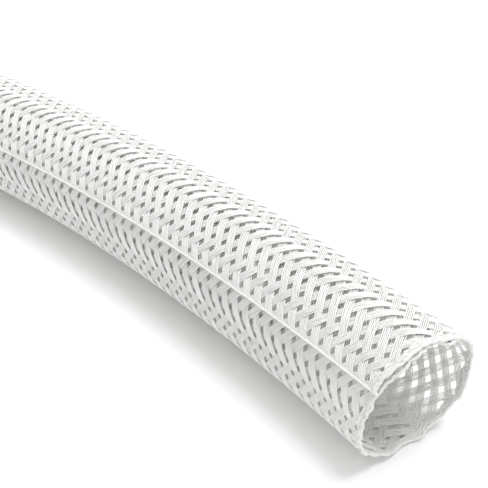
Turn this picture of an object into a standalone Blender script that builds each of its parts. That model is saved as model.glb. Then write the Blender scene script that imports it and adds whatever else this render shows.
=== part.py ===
"""A cut length of self-closing braided cable sleeve, lying on a level floor.

The sleeve is one strip of braid, heat-set into a tube. The strip goes once round and then on
under itself, so that the tube can be opened along its side and closed over a bundle of cables.
Units are metres. +Z is up, and the straight end of the sleeve points along -X.
"""

from math import ceil, cos, floor, pi, radians, sin

import bmesh
import bpy

# The sleeve as it is sold
SLEEVE_LENGTH = 0.500
OUTER_DIAMETER = 0.025
WALL = 0.0008
LAP_GAP = 0.0004
LAP_ANGLE = radians(83)

# The near mouth was cut a little askew: its -Y side is set back by this share of the sideways distance
CUT_SLANT = 0.11

# The free edge of the outer layer, above the horizontal, on the side that faces -Y
EDGE_ANGLE_AT_MOUTH = radians(37.3)
EDGE_ANGLE_LATER = radians(23.4)
EDGE_DRIFT_LENGTH = 0.150

# Just before the strip goes under the free edge, it steps in by one wall and the gap
STEP_STARTS = radians(-37)
STEP_ENDS = radians(8)

# The bend that the sleeve keeps from its reel: it tightens away from the near mouth, then eases off
BEND_RADIUS_AT_MOUTH = 0.564
BEND_RADIUS_TIGHTEST = 0.320
BEND_TIGHTENS_OVER = 0.150
BEND_EASES_OVER = 0.030

# A plain grid of windows, set in a brick pattern, stands for the braid's many small gaps
WINDOWS_ACROSS = 12
WHOLE_FACETS_AT_EDGE = 2

# The solid is made as four lengths that meet end to end, so that each of them bends only a little.
# Each starts at this station, counted from the near mouth, and the last one runs to the far end
LENGTHS = (
    ("sleeve_at_mouth", 0),
    ("sleeve_in_bend", 5),
    ("sleeve_past_bend", 10),
    ("sleeve_straight", 15),
)

# Fineness of the solid
FACET_ANGLE = radians(12)
STATION_SPACING = 0.0125
STEPS_PER_STATION = 8

# The finish
WHITE_POLYESTER = (0.87, 0.87, 0.86, 1.0)
SATIN_ROUGHNESS = 0.45
SHARP_ANGLE = radians(40)

OUTER_RADIUS = OUTER_DIAMETER / 2
FULL_TURN = 2 * pi
UNDERSIDE = 3 * pi / 2
# A facet lies flat on the floor, so the axis is this high
AXIS_HEIGHT = OUTER_RADIUS * cos(FACET_ANGLE / 2)


def smooth_step(share):
    """Goes from 0 to 1 with no kink at either end."""
    share = min(max(share, 0.0), 1.0)
    return share * share * (3 - 2 * share)


def curvature(s):
    """The bend of the axis, in 1/m, at a distance s from the near mouth."""
    at_mouth = 1 / BEND_RADIUS_AT_MOUTH
    tightest = 1 / BEND_RADIUS_TIGHTEST
    if s < BEND_TIGHTENS_OVER:
        return at_mouth + (tightest - at_mouth) * s / BEND_TIGHTENS_OVER
    return tightest * (1 - smooth_step((s - BEND_TIGHTENS_OVER) / BEND_EASES_OVER))


def station_distances():
    """Distances from the near mouth at which the section is drawn, evenly spaced."""
    count = ceil(SLEEVE_LENGTH / STATION_SPACING)
    return [SLEEVE_LENGTH * i / count for i in range(count + 1)]


def axis_points(distances):
    """(x, y, heading) of the axis at each distance. The heading points away from the near mouth."""
    steps = []
    for start, end in zip(distances, distances[1:]):
        width = (end - start) / STEPS_PER_STATION
        middles = [start + width * (i + 0.5) for i in range(STEPS_PER_STATION)]
        steps.append([(curvature(s) * width, width) for s in middles])
    heading = pi - sum(turn for station in steps for turn, width in station)
    x, y = 0.0, 0.0
    points = [(x, y, heading)]
    for station in steps:
        for turn, width in station:
            x += cos(heading + turn / 2) * width
            y += sin(heading + turn / 2) * width
            heading += turn
        points.append((x, y, heading))
    return points


def edge_angle(s):
    """Where the free edge is: it sinks evenly down the side over the first stretch, then keeps level."""
    share = min(s / EDGE_DRIFT_LENGTH, 1.0)
    return EDGE_ANGLE_AT_MOUTH + (EDGE_ANGLE_LATER - EDGE_ANGLE_AT_MOUTH) * share


def spread(start, end, count):
    """count equal steps from start to end, without the end itself."""
    return [start + (end - start) * i / count for i in range(count)]


def wrap_angles(s):
    """Angles round the section, from the free edge over the top, once round and on under the lap.

    Round the underside they stand still along the sleeve, so that it has a flat to lie on. Towards
    the two edges of the strip they spread evenly up to wherever the edges are.
    """
    lowest_edge = min(EDGE_ANGLE_AT_MOUTH, EDGE_ANGLE_LATER)
    highest_edge = max(EDGE_ANGLE_AT_MOUTH, EDGE_ANGLE_LATER)
    flat_starts = UNDERSIDE - FACET_ANGLE / 2
    facets_before = floor((flat_starts - highest_edge - FACET_ANGLE) / FACET_ANGLE)
    facets_after = floor((FULL_TURN - UNDERSIDE) / FACET_ANGLE)
    fixed_from = flat_starts - facets_before * FACET_ANGLE
    fixed_to = flat_starts + (1 + facets_after) * FACET_ANGLE
    over_count = ceil((fixed_from - lowest_edge) / FACET_ANGLE)
    under_count = ceil((FULL_TURN + highest_edge + LAP_ANGLE - fixed_to) / FACET_ANGLE)
    start = edge_angle(s)
    end = start + FULL_TURN + LAP_ANGLE
    angles = spread(start, fixed_from, over_count)
    angles += spread(fixed_from, fixed_to, facets_before + 1 + facets_after)
    angles += spread(fixed_to, end, under_count)
    return angles + [end]


def outer_face_radius(angle):
    """Radius of the strip's outer face: full, then one wall and the gap less under the lap."""
    share = (angle - FULL_TURN - STEP_STARTS) / (STEP_ENDS - STEP_STARTS)
    return OUTER_RADIUS - (WALL + LAP_GAP) * smooth_step(share)


def section(s):
    """The strip's section as (sideways, height) points: the outer face, then back along the inner face."""
    angles = wrap_angles(s)
    outer = [(outer_face_radius(a), a) for a in angles]
    inner = [(outer_face_radius(a) - WALL, a) for a in reversed(angles)]
    return [(r * cos(a), AXIS_HEIGHT + r * sin(a)) for r, a in outer + inner]


def draw_section(mesh, s, axis_point, slant):
    """The section's points at one station. slant sets each point on along the axis by its share of u."""
    x, y, heading = axis_point
    along_x, along_y = cos(heading), sin(heading)
    side_x, side_y = -along_y, along_x
    points = []
    for u, z in section(s):
        on = slant * u
        points.append(mesh.verts.new((x + u * side_x + on * along_x, y + u * side_y + on * along_y, z)))
    return points


def window_facets(s, ring):
    """Which facets of one ring are cut out: evenly spaced columns, and every other column in turn.

    No column touches an edge of the strip, or the facet underneath that the sleeve lies on.
    """
    angles = wrap_angles(s)
    facets = len(angles) - 1
    underneath = sum(1 for angle in angles[1:] if angle < UNDERSIDE)
    pitch = facets // WINDOWS_ACROSS
    inner_facets = range(WHOLE_FACETS_AT_EDGE, facets - WHOLE_FACETS_AT_EDGE)
    columns = [f for f in inner_facets if (f - underneath - 1) % pitch == 0]
    return [f for i, f in enumerate(columns[:WINDOWS_ACROSS]) if (i + ring) % 2 == 0]


def join_sections(mesh, near, far, windows):
    """One ring of side faces between two neighbouring sections, with its windows cut through the wall."""
    last = len(near) - 1
    cut = set(windows) | {last - 1 - facet for facet in windows}
    for i, point in enumerate(near):
        j = (i + 1) % len(near)
        if i not in cut:
            mesh.faces.new((point, near[j], far[j], far[i]))
    for i in windows:
        outer = (near[i], near[i + 1], far[i + 1], far[i])
        inner = (near[last - i], near[last - i - 1], far[last - i - 1], far[last - i])
        for a in range(len(outer)):
            b = (a + 1) % len(outer)
            mesh.faces.new((outer[a], outer[b], inner[b], inner[a]))


def close_end(mesh, points):
    """A cut end: a ladder of faces between the strip's outer and inner face."""
    last = len(points) - 1
    for i in range(len(points) // 2 - 1):
        mesh.faces.new((points[i], points[i + 1], points[last - i - 1], points[last - i]))


def loft_length(distances, axis, first, last):
    """One length of the sleeve: the section at each of its stations, side faces and two flat ends."""
    slants = [CUT_SLANT] + [0.0] * (len(distances) - 1)
    mesh = bmesh.new()
    sections = [draw_section(mesh, distances[i], axis[i], slants[i]) for i in range(first, last + 1)]
    for ring, near, far in zip(range(first, last), sections, sections[1:]):
        at_an_end = ring in (first, last - 1)
        windows = [] if at_an_end else window_facets(distances[ring], ring)
        join_sections(mesh, near, far, windows)
    close_end(mesh, sections[0])
    close_end(mesh, sections[-1])
    bmesh.ops.recalc_face_normals(mesh, faces=mesh.faces)
    return mesh


def centre_on_floor(meshes):
    """Puts the origin under the middle of the whole sleeve's box, on the floor."""
    xs = [v.co.x for mesh in meshes for v in mesh.verts]
    ys = [v.co.y for mesh in meshes for v in mesh.verts]
    middle = ((min(xs) + max(xs)) / 2, (min(ys) + max(ys)) / 2, 0.0)
    for mesh in meshes:
        bmesh.ops.translate(mesh, verts=mesh.verts, vec=[-m for m in middle])


def white_polyester():
    """The finish of the monofilament: white and satin."""
    material = bpy.data.materials.new("white_polyester")
    material.use_nodes = True
    shader = material.node_tree.nodes["Principled BSDF"]
    shader.inputs["Base Color"].default_value = WHITE_POLYESTER
    shader.inputs["Roughness"].default_value = SATIN_ROUGHNESS
    shader.inputs["Metallic"].default_value = 0.0
    material.diffuse_color = WHITE_POLYESTER
    return material


def main():
    for old in list(bpy.data.objects):
        bpy.data.objects.remove(old)
    distances = station_distances()
    axis = axis_points(distances)
    starts = [start for name, start in LENGTHS]
    ends = starts[1:] + [len(distances) - 1]
    shapes = [loft_length(distances, axis, first, last) for first, last in zip(starts, ends)]
    centre_on_floor(shapes)
    finish = white_polyester()
    for (name, start), shape in zip(LENGTHS, shapes):
        mesh = bpy.data.meshes.new(name)
        shape.to_mesh(mesh)
        shape.free()
        mesh.materials.append(finish)
        mesh.shade_smooth()
        mesh.set_sharp_from_angle(angle=SHARP_ANGLE)
        bpy.context.scene.collection.objects.link(bpy.data.objects.new(name, mesh))


main()
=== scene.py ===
# %% [markdown]
# # A self-closing braided cable sleeve
# The real thing is one strip of open braid, heat-set so that it curls into a tube and laps under
# itself. This lesson lays every filament of that braid on the curled strip. Geometry Nodes suit it,
# because one rule places all 210 filaments. Modelling them by hand would take days.

# %% Load the solid model
import math

import bpy
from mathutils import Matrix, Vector


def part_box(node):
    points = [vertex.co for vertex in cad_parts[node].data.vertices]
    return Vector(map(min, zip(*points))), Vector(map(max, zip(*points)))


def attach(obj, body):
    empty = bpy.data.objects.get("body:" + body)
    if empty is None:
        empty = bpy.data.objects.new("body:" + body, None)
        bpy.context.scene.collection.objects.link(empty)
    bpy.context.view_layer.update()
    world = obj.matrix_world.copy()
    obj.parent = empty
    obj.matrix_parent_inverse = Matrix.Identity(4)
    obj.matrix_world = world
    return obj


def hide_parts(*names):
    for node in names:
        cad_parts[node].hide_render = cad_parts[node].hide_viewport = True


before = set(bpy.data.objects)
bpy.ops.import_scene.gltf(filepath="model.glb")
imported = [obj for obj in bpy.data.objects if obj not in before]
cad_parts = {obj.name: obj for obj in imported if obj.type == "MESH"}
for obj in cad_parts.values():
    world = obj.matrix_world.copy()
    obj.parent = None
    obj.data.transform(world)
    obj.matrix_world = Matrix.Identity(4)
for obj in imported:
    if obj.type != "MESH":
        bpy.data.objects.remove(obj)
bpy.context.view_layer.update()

# %% [markdown]
# ## The strip and the line it follows
# These are the real sizes of the sleeve, in metres and radians. The strip is known by two distances:
# how far along the sleeve a point is, and how far across the strip it is, counted from the free edge.

# %% Sizes of the sleeve
SLEEVE_LENGTH = 0.500
OUTER_RADIUS = 0.0125
WALL = 0.0008
LAP_GAP = 0.0004
WRAP_ANGLE = math.radians(360 + 83)
CUT_SLANT = 0.11
SLANT_DIES_OVER = 0.0125

EDGE_ANGLE_AT_MOUTH = math.radians(37.3)
EDGE_ANGLE_LATER = math.radians(23.4)
EDGE_DRIFT_LENGTH = 0.150
STEP_STARTS = 2 * math.pi + math.radians(-37)
STEP_ENDS = 2 * math.pi + math.radians(8)

BEND_RADIUS_AT_MOUTH = 0.564
BEND_RADIUS_TIGHTEST = 0.320
BEND_TIGHTENS_OVER = 0.150
BEND_EASES_OVER = 0.030

SLEEVE_NODES = ("sleeve_at_mouth", "sleeve_in_bend", "sleeve_past_bend", "sleeve_straight")
straight_low, straight_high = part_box("sleeve_straight")
AXIS_HEIGHT = (straight_low.z + straight_high.z) / 2
print("the axis runs", round(1000 * AXIS_HEIGHT, 2), "mm above the floor")

# %% [markdown]
# The axis bends in plan, tighter and tighter from the near mouth, and then eases off to a straight.
# A line of short steps is enough, and it is drawn from the straight far end, which the solid model
# places. It runs on a little past both cut ends, so that there is always an axis to read.

# %% The line of the axis
AXIS_STEP = 0.001
AXIS_OVERRUN = 0.004


def curvature(s):
    """The bend of the axis, in 1/m, at a distance s from the near mouth."""
    at_mouth = 1 / BEND_RADIUS_AT_MOUTH
    tightest = 1 / BEND_RADIUS_TIGHTEST
    if s < 0:
        return 0.0
    if s < BEND_TIGHTENS_OVER:
        return at_mouth + (tightest - at_mouth) * s / BEND_TIGHTENS_OVER
    share = min((s - BEND_TIGHTENS_OVER) / BEND_EASES_OVER, 1.0)
    return tightest * (1 - share * share * (3 - 2 * share))


def axis_points():
    """Points of the axis from just outside the near mouth to just past the far end."""
    count = round((SLEEVE_LENGTH + 2 * AXIS_OVERRUN) / AXIS_STEP)
    far = Vector((straight_low.x - AXIS_OVERRUN, straight_high.y - OUTER_RADIUS, 0.0))
    heading = 0.0
    points = [far]
    for i in range(count):
        s = SLEEVE_LENGTH + AXIS_OVERRUN - (i + 0.5) * AXIS_STEP
        turn = curvature(s) * AXIS_STEP
        middle = heading - turn / 2
        points.append(points[-1] + Vector((math.cos(middle), math.sin(middle), 0.0)) * AXIS_STEP)
        heading -= turn
    return points[::-1], heading


axis, mouth_heading = axis_points()
mouth = axis[round(AXIS_OVERRUN / AXIS_STEP)]
print("the near mouth faces", round(math.degrees(mouth_heading), 1), "degrees from +X")

# %% [markdown]
# ## Writing formulas with nodes
# A node tree is a formula drawn as boxes. Short helpers add a box and join it to what feeds it, so
# that the trees below read almost like the formulas they stand for. Noise makes a formula uneven. It
# keeps mostly between 0.3 and 0.7, so less its middle and times four it swings from about -1 to 1.

# %% Helpers for node trees
NOISE_LOW = 0.3
NOISE_MIDDLE = 0.5
NOISE_HIGH = 0.7
NOISE_TO_FULL_SWING = 4


def add_node(tree, kind, inputs=None, **settings):
    """A new node with its settings made and its inputs filled, by a value or by another socket."""
    node = tree.nodes.new(kind)
    for name, value in settings.items():
        setattr(node, name, value)
    for key, value in (inputs or {}).items():
        if isinstance(value, bpy.types.NodeSocket):
            tree.links.new(value, node.inputs[key])
        else:
            node.inputs[key].default_value = value
    return node


def calc(tree, operation, *values):
    """One step of arithmetic."""
    return add_node(tree, "ShaderNodeMath", dict(enumerate(values)), operation=operation).outputs[0]


def ramp(tree, value, start, end, low, high, kind="LINEAR"):
    """Goes from low to high as value goes from start to end, and stays level outside."""
    inputs = {"Value": value, "From Min": start, "From Max": end, "To Min": low, "To Max": high}
    node = add_node(tree, "ShaderNodeMapRange", inputs, interpolation_type=kind, clamp=True)
    return node.outputs["Result"]


def line_noise(tree, place, pattern):
    """Smooth noise read along a line, at a place that may itself be a formula."""
    inputs = {"W": place, **pattern}
    return add_node(tree, "ShaderNodeTexNoise", inputs, noise_dimensions="1D").outputs["Fac"]


def new_tree(name, inputs, outputs):
    """An empty Geometry Nodes tree with named inputs and outputs."""
    tree = bpy.data.node_groups.new(name, "GeometryNodeTree")
    for label, kind in inputs:
        tree.interface.new_socket(label, in_out="INPUT", socket_type="NodeSocket" + kind)
    for label, kind in outputs:
        tree.interface.new_socket(label, in_out="OUTPUT", socket_type="NodeSocket" + kind)
    return tree, tree.nodes.new("NodeGroupInput").outputs, tree.nodes.new("NodeGroupOutput").inputs


# %% [markdown]
# ## Rolling the flat strip into a tube
# The weave is simple on a flat strip and hard on a rolled one. So this group is the roll: it takes a
# place on the flat strip and says where that place is once the strip is wrapped and bent.
# Just before the strip goes under its own free edge it steps in, and the near end is cut askew.
# The heat of the cut has left the mouth a little out of round, which a slow noise draws, and it has
# drawn the two layers of the lap together there.

# %% The group that rolls the strip
STEP_LEFT_AT_MOUTH = 0.72
MOUTH_RIPPLE = 0.00035
RIPPLE_DIES_OVER = 0.016
RIPPLE_NOISE = {"Scale": 0.16, "Detail": 1.0}


def wrap_group():
    """Flat place (along, row across, lift off the middle of the wall) to a place in space."""
    numbers = [(label, "Float") for label in ("Along", "Row", "Rows", "Lift")]
    inputs = [("Axis", "Geometry"), *numbers]
    tree, given, result = new_tree("roll_the_strip", inputs, [("Position", "Vector")])
    along = given["Along"]

    # How far round the section it is, and how far from the axis
    edge = ramp(tree, along, 0.0, EDGE_DRIFT_LENGTH, EDGE_ANGLE_AT_MOUTH, EDGE_ANGLE_LATER)
    across = calc(tree, "MULTIPLY", calc(tree, "DIVIDE", given["Row"], given["Rows"]), WRAP_ANGLE)
    angle = calc(tree, "ADD", edge, across)
    full_step = ramp(tree, angle, STEP_STARTS, STEP_ENDS, 0.0, WALL + LAP_GAP, "SMOOTHSTEP")
    drawn_together = ramp(tree, along, 0.0, RIPPLE_DIES_OVER, STEP_LEFT_AT_MOUTH, 1.0)
    set_in = calc(tree, "MULTIPLY", full_step, drawn_together)
    middle = calc(tree, "SUBTRACT", OUTER_RADIUS - WALL / 2, set_in)
    ripple = line_noise(tree, given["Row"], RIPPLE_NOISE)
    dying = ramp(tree, along, 0.0, RIPPLE_DIES_OVER, NOISE_TO_FULL_SWING * MOUTH_RIPPLE, 0.0)
    out_of_round = calc(tree, "MULTIPLY", calc(tree, "SUBTRACT", ripple, NOISE_MIDDLE), dying)
    radius = calc(tree, "ADD", calc(tree, "ADD", middle, given["Lift"]), out_of_round)

    # From there to sideways and height, and a shift along the axis for the cut that is askew
    sideways = calc(tree, "MULTIPLY", radius, calc(tree, "COSINE", angle))
    height = calc(tree, "ADD", AXIS_HEIGHT, calc(tree, "MULTIPLY", radius, calc(tree, "SINE", angle)))
    slant = ramp(tree, along, 0.0, SLANT_DIES_OVER, CUT_SLANT, 0.0)
    shift = calc(tree, "MULTIPLY", slant, sideways)

    # The axis is read at this distance, and sideways is square to the way it heads there
    read = {"Curves": given["Axis"], "Length": calc(tree, "ADD", along, AXIS_OVERRUN)}
    place = add_node(tree, "GeometryNodeSampleCurve", read, mode="LENGTH", use_all_curves=True)
    heading = add_node(tree, "ShaderNodeSeparateXYZ", {"Vector": place.outputs["Tangent"]}).outputs
    side_x = calc(tree, "MULTIPLY", calc(tree, "MULTIPLY", heading["Y"], sideways), -1.0)
    side_y = calc(tree, "MULTIPLY", heading["X"], sideways)
    on_x = calc(tree, "MULTIPLY", heading["X"], shift)
    on_y = calc(tree, "MULTIPLY", heading["Y"], shift)
    off_axis = {"X": calc(tree, "ADD", side_x, on_x), "Y": calc(tree, "ADD", side_y, on_y), "Z": height}
    offset = add_node(tree, "ShaderNodeCombineXYZ", off_axis).outputs[0]
    total = {0: place.outputs["Position"], 1: offset}
    answer = add_node(tree, "ShaderNodeVectorMath", total, operation="ADD")
    tree.links.new(answer.outputs[0], result["Position"])
    return tree


ROLL = wrap_group()
print("the roll is a formula of", len(ROLL.nodes), "nodes")


def roll(tree, axis_edges, along, row, rows, lift):
    """Uses the group above inside another tree, on the axis that this tree was given."""
    axis_curve = add_node(tree, "GeometryNodeMeshToCurve", {"Mesh": axis_edges}).outputs[0]
    flat_place = {"Axis": axis_curve, "Along": along, "Row": row, "Rows": rows, "Lift": lift}
    return add_node(tree, "GeometryNodeGroup", flat_place, node_tree=ROLL).outputs["Position"]


# %% [markdown]
# ## White polyester
# The filament is white, slightly translucent and satin. A flat white would look like plaster, so a
# little light scatters inside it, each filament has a slightly different tint, read from an attribute
# that its tree writes, and the roughness wanders along it. Where the plastic has melted it is a little
# darker and glossier, and lumpy, and the cords along the edges get that finish too. The pattern reads
# Object coordinates, so it stays put as the part moves.

# %% Materials of the filament, and of the melted ends and edge cords
REFRACTIVE_INDEX = 1.52
TRANSLUCENCY = 0.4
SCATTER_DISTANCE = 0.0006
SCATTER_BY_COLOUR = (1.0, 0.95, 0.85)
SKIN_DETAIL = 3.0
UNEVEN_SHARE = 0.3
TINT_SHARE = 0.7
ROUGHNESS_SWING = 0.08
BUMP_DEPTH = 0.0001
FILAMENT_TINTS = ((0.87, 0.86, 0.835), (0.965, 0.96, 0.94))
MELTED_TINTS = ((0.74, 0.735, 0.72), (0.90, 0.90, 0.885))


def white_plastic(name, tints, roughness, bump, scale):
    """White plastic with a tint that changes from filament to filament and a faintly uneven skin."""
    material = bpy.data.materials.new(name)
    material.use_nodes = True
    tree = material.node_tree
    shader = tree.nodes["Principled BSDF"]
    shader.inputs["IOR"].default_value = REFRACTIVE_INDEX
    shader.inputs["Subsurface Weight"].default_value = TRANSLUCENCY
    shader.inputs["Subsurface Radius"].default_value = SCATTER_BY_COLOUR
    shader.inputs["Subsurface Scale"].default_value = SCATTER_DISTANCE
    place = add_node(tree, "ShaderNodeTexCoord").outputs["Object"]
    grain = {"Vector": place, "Scale": scale, "Detail": SKIN_DETAIL}
    uneven = add_node(tree, "ShaderNodeTexNoise", grain).outputs["Fac"]
    tint = add_node(tree, "ShaderNodeAttribute", attribute_name="tint").outputs["Fac"]
    mixed = calc(tree, "MULTIPLY_ADD", uneven, UNEVEN_SHARE, calc(tree, "MULTIPLY", tint, TINT_SHARE))
    colour = add_node(tree, "ShaderNodeValToRGB", {"Fac": mixed})
    for stop, value in zip(colour.color_ramp.elements, tints):
        stop.color = (*value, 1.0)
    tree.links.new(colour.outputs["Color"], shader.inputs["Base Color"])
    glossiest = roughness - ROUGHNESS_SWING
    dullest = roughness + ROUGHNESS_SWING
    rough = ramp(tree, uneven, NOISE_LOW, NOISE_HIGH, glossiest, dullest)
    tree.links.new(rough, shader.inputs["Roughness"])
    skin = {"Height": uneven, "Strength": bump, "Distance": BUMP_DEPTH}
    tree.links.new(add_node(tree, "ShaderNodeBump", skin).outputs[0], shader.inputs["Normal"])
    return material


FILAMENT = white_plastic("white_filament", FILAMENT_TINTS, roughness=0.36, bump=0.15, scale=900)
MELTED = white_plastic("melted_edge", MELTED_TINTS, roughness=0.30, bump=0.6, scale=1400)
print("the finishes are", FILAMENT.name, "and", MELTED.name)

# %% [markdown]
# ## The braid
# A bundle of five filaments runs slantwise across the strip, turns back at the edge and returns, so on
# the flat strip it is a zigzag. A ping-pong node draws just that. Forty-two bundles, each starting
# two rows further on, cover the strip. Where two cross they take turns, over two and under two, and
# in the two rows beside the outer edge over one and under one.

# %% Sizes of the braid
BUNDLES = 42
BUNDLES_PER_PIECE = 6
FILAMENTS_PER_BUNDLE = 5
FILAMENT_RADIUS = 0.000136
FILAMENT_SPACING = 0.00034
ROW_LENGTH = 0.00275 / 2
ROWS_BETWEEN_BUNDLES = 2.0
WEAVE_START = 2 * ROW_LENGTH - 0.0004
TURN_ROWS = 0.43
ROWS_ACROSS = BUNDLES - 2 * TURN_ROWS

braid_angle = math.atan2(WRAP_ANGLE * OUTER_RADIUS / ROWS_ACROSS, ROW_LENGTH)
print("the filaments lie", round(math.degrees(braid_angle)), "degrees to the axis")

# %% [markdown]
# Over and under are waves. The over-one wave is highest at row 1. The over-two wave is highest half
# way between rows 3 and 4, and the root of two brings it to one at both of them. A limit flattens
# its top. Near the edges, where a bundle turns back, both waves fade out.

# %% Heights of the weave
WEAVE_LIFT = 0.00020
LIFT_LIMIT = 1.1
PLAIN_ROWS = 2.0
PLAIN_CREST_ROW = 1.0
TWILL_CREST_ROW = 3.5
TWILL_HEIGHT = math.sqrt(2)
EDGE_FADE_ROWS = 0.5
print("a crossing lifts the filaments", round(1000 * WEAVE_LIFT, 2), "mm")

# %% [markdown]
# Every piece of this sleeve starts as curves that a formula puts in place, and then a tube is drawn
# along each. The helpers below are for those two steps. A hot knife cut both ends, so the same slow
# noise says where the filaments and the rim stop.

# %% Helpers for curves that become tubes
CUT_WANDER = 0.0009
CUT_NOISE = {"Scale": 0.35, "Detail": 2.0}
TINT_SEED = 7


def plain_curve(tree, points):
    """A curve with this many points, which a formula then puts in place."""
    line = add_node(tree, "GeometryNodeCurvePrimitiveLine").outputs[0]
    return add_node(tree, "GeometryNodeResampleCurve", {"Curve": line, "Count": points}).outputs[0]


def cut_wave(tree, row):
    """How far the hot cut wanders in from the square end, the same for the filaments and the rim."""
    return ramp(tree, line_noise(tree, row, CUT_NOISE), NOISE_LOW, NOISE_HIGH, 0.0, CUT_WANDER)


def finish_tube(tree, result, curves, position, material, radius, sides, number, scale=1.0):
    """Puts curves in place, turns them into tubes, notes a tint by number, and sets the material."""
    laid = add_node(tree, "GeometryNodeSetPosition", {"Geometry": curves, "Position": position})
    random = {"Seed": TINT_SEED, "ID": calc(tree, "ROUND", number)}
    tint = add_node(tree, "FunctionNodeRandomValue", random, data_type="FLOAT").outputs["Value"]
    note = {"Geometry": laid.outputs[0], "Name": "tint", "Value": tint}
    noted = add_node(tree, "GeometryNodeStoreNamedAttribute", note).outputs[0]
    ring = add_node(tree, "GeometryNodeCurvePrimitiveCircle", {"Resolution": sides, "Radius": radius})
    sweep = {"Curve": noted, "Profile Curve": ring.outputs["Curve"], "Fill Caps": True, "Scale": scale}
    tube = add_node(tree, "GeometryNodeCurveToMesh", sweep).outputs[0]
    real = add_node(tree, "GeometryNodeRealizeInstances", {"Geometry": tube}).outputs[0]
    painted = add_node(tree, "GeometryNodeSetMaterial", {"Geometry": real, "Material": material})
    tree.links.new(painted.outputs[0], result["Geometry"])
    return tree


# %% [markdown]
# The tree below makes a few bundles at a time, so that no piece gets too heavy. It starts from one
# line, duplicates it once for each filament and moves every point by formula. The points are close
# together near the mouth, where the eye is, and one to a crossing further on.

# %% The tree that braids
FINE_STRETCH = 0.150
FINE_STEPS_PER_ROW = 2
SPARE_POINTS = 2
TUBE_SIDES = 4
WANDER = 0.00005
WANDER_RATE = 160.0
WANDER_APART = 17.3
WANDER_NOISE = {"Detail": 1.0}


def times_into(tree, value, size):
    """How many whole times size goes into value, with half of one added against rounding."""
    return calc(tree, "FLOOR", calc(tree, "DIVIDE", calc(tree, "ADD", value, 0.5), size))


def weave_height(tree, crossing, way):
    """How high a bundle runs at a crossing, from about -1 to 1. way is 1 going and -1 returning."""
    phase = calc(tree, "MULTIPLY", calc(tree, "SUBTRACT", crossing, TWILL_CREST_ROW), math.pi / 2)
    twill = calc(tree, "MULTIPLY", calc(tree, "COSINE", phase), TWILL_HEIGHT)
    phase = calc(tree, "MULTIPLY", calc(tree, "SUBTRACT", crossing, PLAIN_CREST_ROW), math.pi)
    plain = calc(tree, "COSINE", phase)
    beside_edge = calc(tree, "LESS_THAN", crossing, PLAIN_ROWS)
    wave = calc(tree, "MULTIPLY_ADD", beside_edge, calc(tree, "SUBTRACT", plain, twill), twill)
    wave = calc(tree, "MAXIMUM", calc(tree, "MINIMUM", wave, LIFT_LIMIT), -LIFT_LIMIT)
    from_edge = calc(tree, "MINIMUM", crossing, calc(tree, "SUBTRACT", BUNDLES, crossing))
    fade = ramp(tree, from_edge, TURN_ROWS, TURN_ROWS + EDGE_FADE_ROWS, 0.0, 1.0)
    return calc(tree, "MULTIPLY", calc(tree, "MULTIPLY", wave, fade), way)


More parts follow.
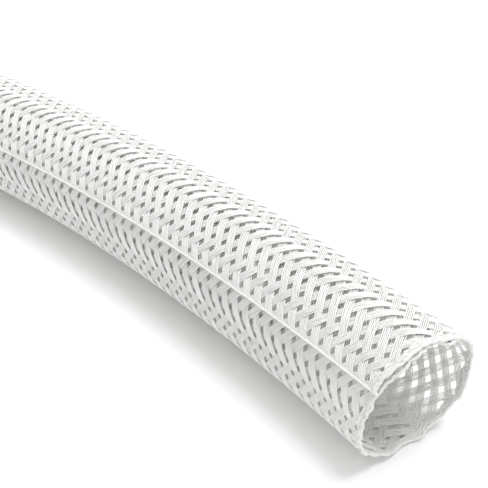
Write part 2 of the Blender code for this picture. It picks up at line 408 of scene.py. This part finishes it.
def braid_tree():
    """Lays a run of bundles on the rolled strip."""
    counts = [("First Bundle", "Int"), ("Bundles", "Int")]
    sizes = [("Filament Radius", "Float"), ("Filament Spacing", "Float"), ("Weave Lift", "Float")]
    inputs = [("Axis", "Geometry"), *counts, *sizes, ("Material", "Material")]
    tree, given, result = new_tree("braid", inputs, [("Geometry", "Geometry")])

    fine_step = ROW_LENGTH / FINE_STEPS_PER_ROW
    fine_points = round(FINE_STRETCH / fine_step)
    points = fine_points + math.ceil((SLEEVE_LENGTH - FINE_STRETCH) / ROW_LENGTH) + SPARE_POINTS
    filaments = calc(tree, "MULTIPLY", given["Bundles"], FILAMENTS_PER_BUNDLE)
    copies = {"Geometry": plain_curve(tree, points), "Amount": filaments}
    many = add_node(tree, "GeometryNodeDuplicateElements", copies, domain="SPLINE").outputs["Geometry"]

    # Which filament this is, where it is in its bundle, and which step along it
    index = add_node(tree, "GeometryNodeInputIndex").outputs[0]
    step = calc(tree, "MODULO", index, points)
    number = times_into(tree, index, points)
    in_bundle = calc(tree, "MODULO", number, FILAMENTS_PER_BUNDLE)
    bundle = calc(tree, "ADD", times_into(tree, number, FILAMENTS_PER_BUNDLE), given["First Bundle"])

    # Fine steps first and then one to a row, counted as rows that this bundle has run
    fine_share = calc(tree, "MULTIPLY", calc(tree, "MINIMUM", step, fine_points), fine_step)
    past_fine = calc(tree, "MAXIMUM", calc(tree, "SUBTRACT", step, fine_points), 0.0)
    path = calc(tree, "MULTIPLY_ADD", past_fine, ROW_LENGTH, fine_share)
    rows_from_start = calc(tree, "DIVIDE", calc(tree, "ADD", path, WEAVE_START), ROW_LENGTH)
    head_start = calc(tree, "MULTIPLY", bundle, ROWS_BETWEEN_BUNDLES)
    rows_run = calc(tree, "ADD", rows_from_start, head_start)
    crossing = calc(tree, "PINGPONG", rows_run, BUNDLES)
    returning = calc(tree, "GREATER_THAN", calc(tree, "MODULO", rows_run, 2 * BUNDLES), BUNDLES)
    way = calc(tree, "MULTIPLY_ADD", returning, -2.0, 1.0)
    lift = calc(tree, "MULTIPLY", weave_height(tree, crossing, way), given["Weave Lift"])

    # At an edge a bundle runs along the cord for a moment before it turns back
    row = calc(tree, "MAXIMUM", calc(tree, "SUBTRACT", crossing, TURN_ROWS), 0.0)
    row = calc(tree, "MINIMUM", row, ROWS_ACROSS)

    # Five abreast, with a small wander so that they part and meet as real ones do
    abreast = calc(tree, "SUBTRACT", in_bundle, (FILAMENTS_PER_BUNDLE - 1) / 2)
    filaments_before = calc(tree, "MULTIPLY", given["First Bundle"], FILAMENTS_PER_BUNDLE)
    number_in_all = calc(tree, "ADD", number, filaments_before)
    travelled = calc(tree, "MULTIPLY", path, WANDER_RATE)
    read_at = calc(tree, "MULTIPLY_ADD", number_in_all, WANDER_APART, travelled)
    off_middle = calc(tree, "SUBTRACT", line_noise(tree, read_at, WANDER_NOISE), NOISE_MIDDLE)
    wander = calc(tree, "MULTIPLY", off_middle, NOISE_TO_FULL_SWING * WANDER)
    wandering = calc(tree, "ADD", path, wander)
    along = calc(tree, "MULTIPLY_ADD", abreast, given["Filament Spacing"], wandering)

    # Both ends stop at the hot cut, where the last of each filament has melted into the rim
    cut = cut_wave(tree, row)
    along = calc(tree, "MAXIMUM", along, cut)
    along = calc(tree, "MINIMUM", along, calc(tree, "SUBTRACT", SLEEVE_LENGTH, cut))

    position = roll(tree, given["Axis"], along, row, ROWS_ACROSS, lift)
    size = given["Filament Radius"]
    return finish_tube(tree, result, many, position, given["Material"], size, TUBE_SIDES, number_in_all)


BRAID = braid_tree()
print("the braid is a formula of", len(BRAID.nodes), "nodes")

# %% [markdown]
# ## From a tree to a plain mesh
# The tree runs on the line of the axis. Its result is then copied into an ordinary mesh, which any
# program can read, and the object that carried the modifier is thrown away.

# %% Growing a piece on the axis


def axis_mesh():
    """The axis as a mesh of edges, for a tree to read."""
    mesh = bpy.data.meshes.new("axis")
    edges = [(i, i + 1) for i in range(len(axis) - 1)]
    mesh.from_pydata(axis, edges, [])
    return mesh


def grow(name, tree, **values):
    """Runs a tree on the axis and keeps the result as a plain mesh object at the origin."""
    carrier = bpy.data.objects.new(name + "_carrier", axis_mesh())
    bpy.context.scene.collection.objects.link(carrier)
    modifier = carrier.modifiers.new("grow", "NODES")
    modifier.node_group = tree
    for item in tree.interface.items_tree:
        if item.in_out == "INPUT" and item.name in values:
            modifier[item.identifier] = values[item.name]
    evaluated = carrier.evaluated_get(bpy.context.evaluated_depsgraph_get())
    mesh = bpy.data.meshes.new_from_object(evaluated)
    carrier.modifiers.clear()
    bpy.data.objects.remove(carrier)
    mesh.name = name
    mesh.shade_smooth()
    piece = bpy.data.objects.new(name, mesh)
    bpy.context.scene.collection.objects.link(piece)
    print(name, "has", sum(len(face.vertices) - 2 for face in mesh.polygons), "triangles")
    return piece


def fit_to_sleeve(piece):
    """The piece rides with the solid sleeve, which it stands for."""
    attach(piece, "root")
    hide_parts(*SLEEVE_NODES)


for first in range(0, BUNDLES, BUNDLES_PER_PIECE):
    settings = {
        "First Bundle": first,
        "Bundles": BUNDLES_PER_PIECE,
        "Filament Radius": FILAMENT_RADIUS,
        "Filament Spacing": FILAMENT_SPACING,
        "Weave Lift": WEAVE_LIFT,
        "Material": FILAMENT,
    }
    fit_to_sleeve(grow(f"braid_bundles_{first + 1}_to_{first + BUNDLES_PER_PIECE}", BRAID, **settings))

# %% [markdown]
# ## The cord along each edge
# A thicker straight cord runs along each edge of the strip and the bundles turn round it. The outer one
# shows as a bright line along the sleeve, with the shadow of the lap beneath it.

# %% The edge cords
CORD_RADIUS = 0.00024
CORD_SIDES = 8
CORD_POINTS = 500
CORD_TINT_NUMBER = 1.0
OUTER_EDGE_ROW = 0.0
INNER_EDGE_ROW = ROWS_ACROSS


def edge_cord_tree():
    """One straight tube along the strip at a chosen row."""
    inputs = [("Axis", "Geometry"), ("Row", "Float"), ("Radius", "Float"), ("Material", "Material")]
    tree, given, result = new_tree("edge_cord", inputs, [("Geometry", "Geometry")])
    curve = plain_curve(tree, CORD_POINTS)
    index = add_node(tree, "GeometryNodeInputIndex").outputs[0]
    along = calc(tree, "MULTIPLY", index, SLEEVE_LENGTH / (CORD_POINTS - 1))
    position = roll(tree, given["Axis"], along, given["Row"], ROWS_ACROSS, 0.0)
    size = given["Radius"]
    return finish_tube(tree, result, curve, position, given["Material"], size, CORD_SIDES, CORD_TINT_NUMBER)


EDGE_CORD = edge_cord_tree()
for name, row in (("outer_edge_cord", OUTER_EDGE_ROW), ("inner_edge_cord", INNER_EDGE_ROW)):
    fit_to_sleeve(grow(name, EDGE_CORD, Row=row, Radius=CORD_RADIUS, Material=MELTED))

# %% [markdown]
# ## The melted rims
# A hot knife cuts the braid, and the filaments melt into a wavy band that stops them fraying. Three
# beads side by side make the band. Each is a tube along the cut whose place and thickness follow noise,
# read further on for each bead, so that no two beads of a rim are lumpy in the same places.

# %% The melted rims
RIM_BEADS = ((0.0, 0.00034), (0.0004, 0.00034), (0.0008, 0.00028))
RIM_SIDES = 8
RIM_POINTS = 420
RIM_TINT_NUMBER = 2.0
RIM_LUMP = 0.00045
RIM_NOISE = {"Scale": 1.3, "Detail": 3.0}
NOISE_ROWS_PER_METRE_OF_INSET = 5000.0
THINNEST_SHARE = 0.5


def rim_tree():
    """A wavy bead along the cut end of the strip."""
    sizes = [(label, "Float") for label in ("End", "Inward", "Inset", "Thickness", "Lump")]
    inputs = [("Axis", "Geometry"), *sizes, ("Material", "Material")]
    tree, given, result = new_tree("melted_rim", inputs, [("Geometry", "Geometry")])
    curve = plain_curve(tree, RIM_POINTS)
    index = add_node(tree, "GeometryNodeInputIndex").outputs[0]
    row = calc(tree, "MULTIPLY", index, ROWS_ACROSS / (RIM_POINTS - 1))
    read_at = calc(tree, "MULTIPLY_ADD", given["Inset"], NOISE_ROWS_PER_METRE_OF_INSET, row)
    lumps = line_noise(tree, read_at, RIM_NOISE)
    reach = calc(tree, "MULTIPLY", given["Lump"], 2.0)
    lift = calc(tree, "MULTIPLY", calc(tree, "SUBTRACT", lumps, NOISE_MIDDLE), reach)
    inward = calc(tree, "ADD", calc(tree, "ADD", cut_wave(tree, row), given["Inset"]), lift)
    along = calc(tree, "MULTIPLY_ADD", inward, given["Inward"], given["End"])
    position = roll(tree, given["Axis"], along, row, ROWS_ACROSS, lift)
    uneven = calc(tree, "ADD", lumps, THINNEST_SHARE)
    look = (given["Material"], given["Thickness"], RIM_SIDES, RIM_TINT_NUMBER, uneven)
    return finish_tube(tree, result, curve, position, *look)


RIM = rim_tree()
for where, end, inward in (("near", 0.0, 1.0), ("far", SLEEVE_LENGTH, -1.0)):
    cut = {"End": end, "Inward": inward, "Lump": RIM_LUMP, "Material": MELTED}
    for i, (inset, thickness) in enumerate(RIM_BEADS):
        fit_to_sleeve(grow(f"{where}_melted_rim_{i + 1}", RIM, Inset=inset, Thickness=thickness, **cut))

# %% [markdown]
# ## The studio
# A white floor under soft light. The main light stands behind and to the right, so that the sleeve's
# soft shadow falls along its lower left side.

# %% Floor and lights
FLOOR_HALF = 3.0
FLOOR_DROP = 0.00015
FLOOR_COLOUR = (0.97, 0.97, 0.97, 1.0)
FLOOR_ROUGHNESS = 0.9
SKY_COLOUR = (1.0, 1.0, 1.0, 1.0)
SKY_STRENGTH = 0.74
LAMPS_AIM_FROM_MOUTH = (-0.07, 0.03)
# Name, place from where they aim, side of the square, and power in watts
LAMPS = (
    ("window_behind", (0.20, 0.26, 1.1), 0.5, 7.4),
    ("overhead", (0.0, 0.1, 1.4), 1.2, 2.5),
)


def white_floor():
    """A large pale floor just under the sleeve."""
    signs = ((-1, -1), (1, -1), (1, 1), (-1, 1))
    corners = [(x * FLOOR_HALF, y * FLOOR_HALF, -FLOOR_DROP) for x, y in signs]
    mesh = bpy.data.meshes.new("studio_floor")
    mesh.from_pydata(corners, [], [(0, 1, 2, 3)])
    floor = bpy.data.objects.new("studio_floor", mesh)
    bpy.context.scene.collection.objects.link(floor)
    material = bpy.data.materials.new("studio_white")
    material.use_nodes = True
    shader = material.node_tree.nodes["Principled BSDF"]
    shader.inputs["Base Color"].default_value = FLOOR_COLOUR
    shader.inputs["Roughness"].default_value = FLOOR_ROUGHNESS
    mesh.materials.append(material)


def soft_light(name, offset, size, power):
    """A square lamp that looks at the near half of the sleeve."""
    aim_x, aim_y = LAMPS_AIM_FROM_MOUTH
    target = Vector((mouth.x + aim_x, mouth.y + aim_y, 0.0))
    lamp = bpy.data.lights.new(name, "AREA")
    lamp.size = size
    lamp.energy = power
    holder = bpy.data.objects.new(name, lamp)
    holder.location = target + Vector(offset)
    holder.rotation_euler = (target - holder.location).to_track_quat("-Z", "Y").to_euler()
    bpy.context.scene.collection.objects.link(holder)


white_floor()
for lamp_settings in LAMPS:
    soft_light(*lamp_settings)
world = bpy.context.scene.world or bpy.data.worlds.new("studio")
bpy.context.scene.world = world
world.use_nodes = True
world.node_tree.nodes["Background"].inputs["Color"].default_value = SKY_COLOUR
world.node_tree.nodes["Background"].inputs["Strength"].default_value = SKY_STRENGTH
bpy.context.scene.view_settings.view_transform = "Standard"
print("the studio has", len(LAMPS), "lamps")

# %% [markdown]
# The camera stands where the photographer stood. Its place is given from the near mouth, in tube
# radii, in a frame turned so that it looks straight ahead: a little to the left, well back and high.

# %% The camera
CAMERA_RIGHT = -2.260
CAMERA_FORWARD = -7.135
CAMERA_HEIGHT = 9.494
CAMERA_TILT = math.radians(39.56)
HEADING_IN_PHOTO = math.radians(129.15)
CAMERA_TURN = math.pi + mouth_heading - HEADING_IN_PHOTO
LENS = 62.23
SENSOR_WIDTH = 36.0
NEAREST_SEEN = 0.01

lens = bpy.data.cameras.new("photographer")
lens.lens = LENS
lens.sensor_width = SENSOR_WIDTH
lens.clip_start = NEAREST_SEEN
camera = bpy.data.objects.new("photographer", lens)
turned_x = CAMERA_RIGHT * math.cos(CAMERA_TURN) - CAMERA_FORWARD * math.sin(CAMERA_TURN)
turned_y = CAMERA_RIGHT * math.sin(CAMERA_TURN) + CAMERA_FORWARD * math.cos(CAMERA_TURN)
camera.location = mouth + Vector((turned_x, turned_y, CAMERA_HEIGHT)) * OUTER_RADIUS
camera.rotation_euler = (math.pi / 2 - CAMERA_TILT, 0.0, CAMERA_TURN)
bpy.context.scene.collection.objects.link(camera)
bpy.context.scene.camera = camera
print("the camera is", round((camera.location - mouth).length, 3), "m from the near mouth")
